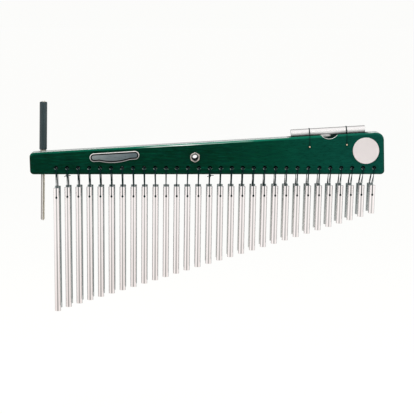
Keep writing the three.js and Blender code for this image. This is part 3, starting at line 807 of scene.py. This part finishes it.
# inset, depth and how hollow each row of the rim lies
rim = [(0.25, 0.0, 0.0), (0.0, 0.2, 0.0), (0.0, 0.9, 0.0), (0.08, 1.25, 0.0), (0.32, 1.5, 0.0),
       (0.65, 1.6, 0.0), (0.98, 1.5, 0.0), (1.2, 1.25, 0.1), (1.28, 1.0, 0.97), (1.5, 0.55, 1.0),
       (3.1, 0.50, 1.0), (3.3, 0.70, 0.97), (3.4, 0.95, 0.5), (3.8, 1.0, 0.5), (4.9, 1.05, 0.5)]
plate_x, plate_drop, plate_height = first_hole + 93, 14.2, 8
plate_rows = np.stack([plate_ring(inset, depth) for inset, depth, _ in rim])
plate_grid = leaning(plate_rows, -taper) + [plate_x, -half_board, board_top(plate_x) - plate_drop]
plate_mesh = skin("nameplate", plate_grid)
row_hollow = np.repeat([how_hollow for _, _, how_hollow in rim], plate_grid.shape[1])
point_low = np.clip(0.5 - plate_rows[..., 2].ravel() / plate_height, 0, 1)
for attribute, values in (("hollow", row_hollow), ("lowness", point_low)):
    layer = plate_mesh.attributes.new(attribute, "FLOAT", "POINT")
    layer.data.foreach_set("value", values.astype(np.float32))
add_piece("plate", plate_mesh, plate_metal, "board", ["nameplate"], crease=50)

badge_x, badge_drop = board_right - 29.4, 28.6
badge_edge = arc((20.5, -13.2), 0.5, 270, 360, 6)
badge_profile = [(19.7, -13.62), (20.1, -13.66)] + badge_edge + [(21.0, -half_board)]
badge_grid = lying_back(turned(badge_profile, 128)) + [badge_x, 0, board_top(badge_x) - badge_drop]
badge = add_piece("badge", skin("badge", badge_grid), badge_face, "board", ["round_badge"],
                  crease=50)
print("plate and badge:", len(plate_mesh.polygons), len(badge.data.polygons), "faces")

# %% [markdown]
# ## The beater
# The beater is a metal rod with a dark grip, and it stands in a rubber grommet in the board's low end.
# Everything on it is turned, so each piece is one profile, which could also be spun with a Screw modifier.
# Profiles that end where they began make rings with a bore.

# %% Rod, grip, ferrule and grommet
tip_z = board_bottom - 75.1
fit_gap = 0.3
grommet_top = seat_z + 1.7
ferrule_z, ferrule_length, bead = grommet_top + fit_gap, 2.8, 0.6
ferrule_top = ferrule_z + ferrule_length
grip_z, grip_radius, low_round, high_round = ferrule_top + fit_gap, 6.0, 0.7, 1.2
grip_top = grip_z + 76.0
nub_top, nub_round = grip_top + 1.4, 0.8

rod_profile = (arc((0, tip_z + rod_radius), rod_radius, -88, 0, 12) + [(rod_radius, grip_top - 1)]
               + arc((rod_radius - nub_round, nub_top - nub_round), nub_round, 0, 88, 6))
grip_profile = ([(rod_bore, grip_z)]
                + arc((grip_radius - low_round, grip_z + low_round), low_round, 270, 360, 7)
                + arc((grip_radius - high_round, grip_top - high_round), high_round, 0, 90, 7)
                + [(rod_bore, grip_top), (rod_bore, grip_z)])
collar = ([(rod_bore, ferrule_z)] + arc((4.2, ferrule_z + bead), bead, 270, 400, 7)
          + [(4.25, ferrule_z + ferrule_length / 2)] + arc((4.2, ferrule_top - bead), bead, -30, 90, 7)
          + [(rod_bore, ferrule_top), (rod_bore, ferrule_z)])
flange_z, foot_z = seat_z + fit_gap, seat_z - 9
ring = ([(rod_bore, foot_z), (4.7, foot_z), (4.9, foot_z + 0.2), (4.9, flange_z), (6.3, flange_z)]
        + arc((5.8, flange_z + 0.7), 0.7, -60, 90, 8)
        + arc((rod_bore + 0.6, grommet_top - 0.6), 0.6, 90, 180, 5) + [(rod_bore, foot_z)])
for name, profile, sides, finish, body, slot in (
        ("rod", rod_profile, 40, rod_metal, "beater", "nickel"),
        ("handle", grip_profile, 64, grip, "beater", "grip"),
        ("ferrule", collar, 48, nickel, "beater", "nickel"),
        ("grommet", ring, 56, rubber, "board", "rubber")):
    add_piece(name, skin(name, stood(turned(profile, sides))), finish, body, [f"beater_{name}"])
print("beater from", np.round(tip_z, 1), "to", np.round(nub_top, 1), "mm")

# %% [markdown]
# ## The bell bar
# A thicker bar lies over a groove in the board's top edge. Two cords go round it twice and down both faces
# to brass pins, which hold it from rolling but let it ring. A cord could be a bevelled curve, but a tube
# on a path keeps its UV map for the braid. Each cord is two rings, two legs and two eyes, as one mesh.

# %% Bell bar, its cords and pins
bell_end = bell_half - 0.5
bell_profile = (arc((bell_radius - 0.5, -bell_end), 0.5, 270, 360, 5) + [(bell_radius, 0.0)]
                + arc((bell_radius - 0.5, bell_end), 0.5, 0, 90, 5))
bell_grid = leaning(turned(bell_profile, 56), math.pi / 2 - taper) + bell_centre
add_piece("bell", skin("bell", bell_grid), bell_metal, "board", ["bell_bar"])

cord_radius, tie_radius, cord_gap = 0.56, 0.44, 0.9
face_y = half_board + cord_gap
tie_clear = 1.2
corner_y = half_board - edge_depth + (edge_depth + tie_clear) * math.sqrt(0.5)
corner_rise = (edge_round + tie_clear) * math.sqrt(0.5)
hoop_radius, eye_radius, eye_top, turn_offset = 5.85, 1.75, 1.8, 0.42
pin_radius, head_radius, head_z, head_flatness = 0.9, 1.3, 14.2, 0.55
circle = np.linspace(0, 2 * np.pi, 49)
hoop = leaning(hoop_radius * points_of(0, np.cos(circle), np.sin(circle)), -taper)
eye = eye_radius * points_of(np.sin(circle), 0, np.cos(circle))
dome = [(radius, head_z + 0.1 + head_flatness * (height - head_z))
        for radius, height in arc((0, head_z), head_radius, 8, 88, 7)]
stem = [(radius, -height) for radius, height in dome[::-1]]
stem += [(pin_radius, -head_z - 0.05), (pin_radius, head_z + 0.05)] + dome
for side, at in cord_places.items():
    pin = pin_places[side]
    tie_x, round_z = at[0], board_top(at[0]) - edge_round
    shells = [tube(hoop + at + way * turn_offset * top_direction, tie_radius) for way in (-1, 1)]
    for face in (-1, 1):
        leg = [(tie_x, face * face_y, pin[2] + eye_top), (tie_x, face * face_y, round_z),
               (tie_x, face * corner_y, round_z + corner_rise), (tie_x, face * hoop_radius, at[2])]
        shells.append(tube(eased(leg, ease=3), tie_radius))
        shells.append(tube(eye + pin + [0, face * face_y, 0], tie_radius, side=(0, 1, 0)))
    tie_name, nail_name = f"bell_tie_{side}", f"bell_nail_{side}"
    add_piece(tie_name, skin(tie_name, *shells), cord, "board", [f"bell_cord_{side}"])
    nail = skin(nail_name, lying_back(turned(stem, 28)) + pin)
    add_piece(nail_name, nail, brass, "board", [f"bell_pin_{side}"])
print("bell bar at", np.round(bell_centre, 1), "with", len(cord_places), "ties")

# %% [markdown]
# ## The bars
# Each bar is drawn rod, cut to its note's length, with broken edges and a cross-hole near its top, which
# flares where the cord goes in. A plain cylinder with a Boolean would shade badly round the cut, so the
# rows lie closer together there. Front bars swing one by one, rear bars in twos.

# %% Rods with cross-holes
cross_profile = [(2.9, -6.0), (2.0, -4.85), (1.45, -4.1), (1.45, 4.1), (2.0, 4.85), (2.9, 6.0)]
cross_drill = skin("cross_drill", lying_back(turned(cross_profile, 24)))
bar_break = 0.45


def bar_mesh(name, length):
    """A rod hung from its cross-hole at the origin: bottom edge, shaft, close rows at the hole, top."""
    low, high, inside = hole_drop - length, hole_drop, bar_radius - bar_break
    shaft = np.concatenate([np.linspace(low + 0.8, -6, 6), np.linspace(-4, 4, 9), [6, 10, 14]])
    profile = (arc((inside, low + bar_break), bar_break, 270, 360, 5) + [(bar_radius, z) for z in shaft]
               + arc((inside, high - bar_break), bar_break, 0, 90, 5))
    return cut_away(skin(name, turned(profile, 44)), cross_drill.copy())


def hung(mesh, angle, place):
    """A copy of a bar's mesh that leans about its cross-hole, in its place."""
    points = np.empty(len(mesh.vertices) * 3)
    mesh.vertices.foreach_get("co", points)
    moved = leaning(points.reshape(-1, 3) / MM, angle) + place
    leant = mesh.copy()
    leant.vertices.foreach_set("co", (moved * MM).ravel())
    leant.update()
    return leant


def pair_name(k):
    """The body that carries a rear bar and its neighbour."""
    first = k // 2 * 2 + 1
    return f"rear_bars_{first:02d}_{first + 1:02d}"


for k, pivot in enumerate(pivots):
    number = f"{k + 1:02d}"
    straight = bar_mesh(f"bar_{number}", bar_length[k])
    for row, way, finish, body in (("front", 1, bar_metal, f"front_bar_{number}"),
                                   ("rear", -1, shaded_rear_metal, pair_name(k))):
        leant = hung(straight, bar_lean[k], pivot * [1, way, 1])
        add_piece(f"bar_{row}_{number}", leant, finish, body, [body], crease=30)
    bpy.data.meshes.remove(straight)
bpy.data.meshes.remove(cross_drill)
print("bars:", 2 * bar_count, "from", bar_length[0], "to", bar_length[-1], "mm")

# %% [markdown]
# ## The lacing
# A braided cord runs along the board's back and dips through each hole, down the bar's face, through its
# cross-hole and up behind it. The rear bars hang on such loops too, from the run that they swing on, and
# two knots join lengths. Bezier curves would do, but corner points say where the cord passes, and easing
# bends it.

# %% Loops through the front bars, the run along the back and the knots
on_bar, bend_rise, strand_gap, run_end = 5.6, 1.2, 0.5, 1.2
under_board_z = board_bottom - cord_gap
plug_radius, plug_half = 1.3, 4.9
back_shift, knot_out, knot_drop = 0.6, 2.6, 1.6


def front_loop(entry, x, top, hole):
    """Corner points of the cord through one hole: out, down the bar's face, through it, up and back in."""
    near, far = -row_y - on_bar, -row_y + on_bar
    out, back = entry + strand_gap, entry - strand_gap
    return [(out, face_y, cord_hole_z + cord_gap), (out, -face_y, cord_hole_z), (x, near, top + bend_rise),
            (x, near, hole), (x, far, hole), (x - back_shift, far, top + bend_rise),
            (back, -face_y, under_board_z), (back, -face_y, cord_hole_z), (back, 0, cord_hole_z)]


def knot(place, size=0.62):
    """An overhand knot: a trefoil, whose radius and height swing three times for two turns."""
    turn = np.linspace(0, 2 * np.pi, 91)
    trefoil = points_of(np.sin(turn) + 2 * np.sin(2 * turn), 1.3 * np.sin(3 * turn),
                        np.cos(turn) - 2 * np.cos(2 * turn))
    return tube(size * trefoil + place, cord_radius, side=(0.3, 1, 0.2))


def level_cord(points, **easing):
    """A cord that runs sideways."""
    return tube(eased(points, **easing), cord_radius, side=(0, 0, 1))


def back_run(first, last, z, spacing):
    """The cord along the board's back from one hole to another."""
    ends = [(cord_hole_x[first] - run_end, face_y, z), (cord_hole_x[last] + run_end, face_y, z)]
    return level_cord(ends, spacing=spacing)


hangers = list(zip(cord_hole_x, bar_x, bar_top, hole_z))
loops = [tube(eased(front_loop(*place)), cord_radius) for place in hangers]
plug = np.linspace([0, -plug_half, 0], [0, plug_half, 0], 9)
loops += [tube(plug + pivot, plug_radius, sides=14) for pivot in pivots]
loops.append(back_run(0, -1, cord_hole_z + cord_gap, 4))
knotted = (1, 14)
tails = [[(0, 0, 0), (3.2, -0.6, 0.6), (6.0, -0.4, 0.2)],
         [(0, 0, 0), (-2.6, -0.5, -0.8), (-4.6, -0.4, -2.0)]]
for k in knotted:
    spot = np.array([cord_hole_x[k], -half_board - knot_out, board_bottom - knot_drop])
    loops.append(knot(spot))
    loops += [level_cord(spot + tail) for tail in tails]
lacing = add_piece("lacing", skin("lacing", *loops), cord, "board", ["suspension_cord"])
print("front lacing:", len(lacing.data.polygons), "faces")

# %% Loops of the rear bars
swing_z = cord_hole_z - cord_gap
rear_gap, askew = 0.75, 0.1


def rear_loop(entry, x, top, hole):
    """Corner points of a rear loop: down the bar's back, through it, up behind the board and round."""
    near, far = row_y - on_bar, row_y + on_bar
    return [(entry + rear_gap, face_y, swing_z), (x + askew, far, top + bend_rise), (x, far, hole),
            (x, near, hole), (x - askew, near, top + bend_rise), (entry - rear_gap, face_y, under_board_z),
            (entry - rear_gap, face_y, swing_z)]


for first in range(0, bar_count, 2):
    group = pair_name(first)
    shells = [back_run(first, first + 1, swing_z, 2)]
    shells += [tube(eased(rear_loop(*place)), cord_radius) for place in hangers[first:first + 2]]
    add_piece(f"lacing_{group}", skin(f"lacing_{group}", *shells), cord, group, [group])
print("rear loops on", bar_count // 2, "pairs")

# %% [markdown]
# ## Light
# The bars are mirrors, so most of what shows on them is the room. A photographer hangs white cloth to both
# sides and stands in the dark between them: each bar then shows a grey middle, two pale bands and thin dark
# edges. The cloths could be planes. Here the world does it, by direction, for reflected rays alone, while
# the camera sees plain white. Soft lamps light the rest, the strongest from above.

# %% World that reflects a studio and shows white
world = bpy.data.worlds.new("studio")
scene.world = world
world.use_nodes = True
world.node_tree.nodes.clear()
room_x, room_y, room_z = split(add_node(world, "TexCoord", "Generated", {}))
heading = room_x.step("ARCTAN2", room_y * -1)
cloth, half_lit, dark_middle = (1.06, 1.02, 1.01), (0.62, 0.61, 0.60), (0.42, 0.42, 0.41)
left_dark, right_dark = (0.30, 0.33, 0.33), (0.16, 0.20, 0.20)
walls = ramp(ranged(heading, -math.pi, math.pi), [
    (0.00, left_dark), (0.11, left_dark), (0.15, cloth), (0.395, cloth), (0.44, half_lit),
    (0.47, dark_middle), (0.53, dark_middle), (0.56, half_lit), (0.605, cloth), (0.83, cloth),
    (0.87, right_dark), (1.00, right_dark)])
ceiling = ramp(room_z, [(0.18, 1), (0.26, 0.30), (0.85, 0.30), (0.97, 0.8)])
above = blended(ranged(room_y, -0.05, 0.15), (1.0, 1.0, 1.0), ceiling)
dimmed = blended(ranged(room_z, -0.135, -0.20), (1.0, 1.0, 1.0), (0.82, 0.785, 0.765))
lifted = blended(ranged(room_z, -0.152, -0.126, 0.0, 0.18), walls, cloth)
low_walls = blended(1.0, lifted, dimmed, "MULTIPLY")
below = blended(ranged(room_z, -0.22, -0.36), low_walls, (0.92, 0.90, 0.885))
room_colour = blended(ranged(room_z, 0.0, 0.1), below, above)


def mixed(share, first, second):
    """Two shaders mixed by a share."""
    return add_node(share.finish, "MixShader", "Shader", {"Fac": share, 1: first, 2: second})


soft, studio, seen = [add_node(world, "Background", "Background", {"Color": colour, "Strength": strength})
                      for colour, strength in (((1.0, 1.0, 1.0), 0.6), (room_colour, 1.0),
                                               ((0.972, 0.972, 0.958), 1.0))]
by_camera, by_gloss, by_glass = [add_node(world, "LightPath", f"Is {kind} Ray", {})
                                 for kind in ("Camera", "Glossy", "Transmission")]
reflected = mixed(by_gloss.step("MAXIMUM", by_glass), soft, studio)
fill(world.node_tree.nodes.new("ShaderNodeOutputWorld"), {"Surface": mixed(by_camera, reflected, seen)})
told(world)


# %% Lamps and floor
def softbox(name, place, aim, size, watts):
    """A square area lamp at a place, whose face looks at the aim. It lights, but isn't mirrored."""
    lamp = bpy.data.lights.new(name, "AREA")
    lamp.size = size
    lamp.energy = watts
    holder = add_object(name, lamp)
    back = np.subtract(place, aim)
    back = back / np.linalg.norm(back)
    flat = np.cross([0.0, 1.0, 0.1], back)
    flat = flat / np.linalg.norm(flat)
    placed(holder, flat, np.cross(back, flat), back, place)
    holder.visible_glossy = False


softbox("overhead_box", (0.0, -0.25, 1.5), (0.02, 0.0, 0.0), 1.2, 22)
softbox("left_box", (-1.4, -1.6, 0.9), (0.0, 0.0, -0.05), 0.9, 12)
softbox("right_box", (1.3, -1.0, 0.5), (0.25, 0.0, 0.0), 0.7, 6)

floor_z, near, far, wide = -0.42, -0.45, 80, 40
floor_corners = [(x, y, floor_z) for x, y in ((-wide, near), (wide, near), (wide, far), (-wide, far))]
floor_mesh = bpy.data.meshes.new("floor")
floor_mesh.from_pydata(floor_corners, [], [(0, 1, 2, 3)])
floor = add_object("floor", floor_mesh)
pale = new_finish("pale_floor", Base_Color=(0.86, 0.86, 0.85), Roughness=0.9)
plain = Pattern(pale, pale.node_tree.nodes["Principled BSDF"].outputs["BSDF"])
glow = add_node(pale, "Emission", "Emission", {"Color": (1.0, 1.0, 0.985), "Strength": 1.025})
mostly = add_node(pale, "LightPath", "Is Camera Ray", {}) * 0.9
fill(pale.node_tree.nodes["Material Output"], {"Surface": mixed(mostly, plain, glow)})
floor_mesh.materials.append(pale)
floor.visible_glossy = False
print("lamps: three softboxes over a pale floor")
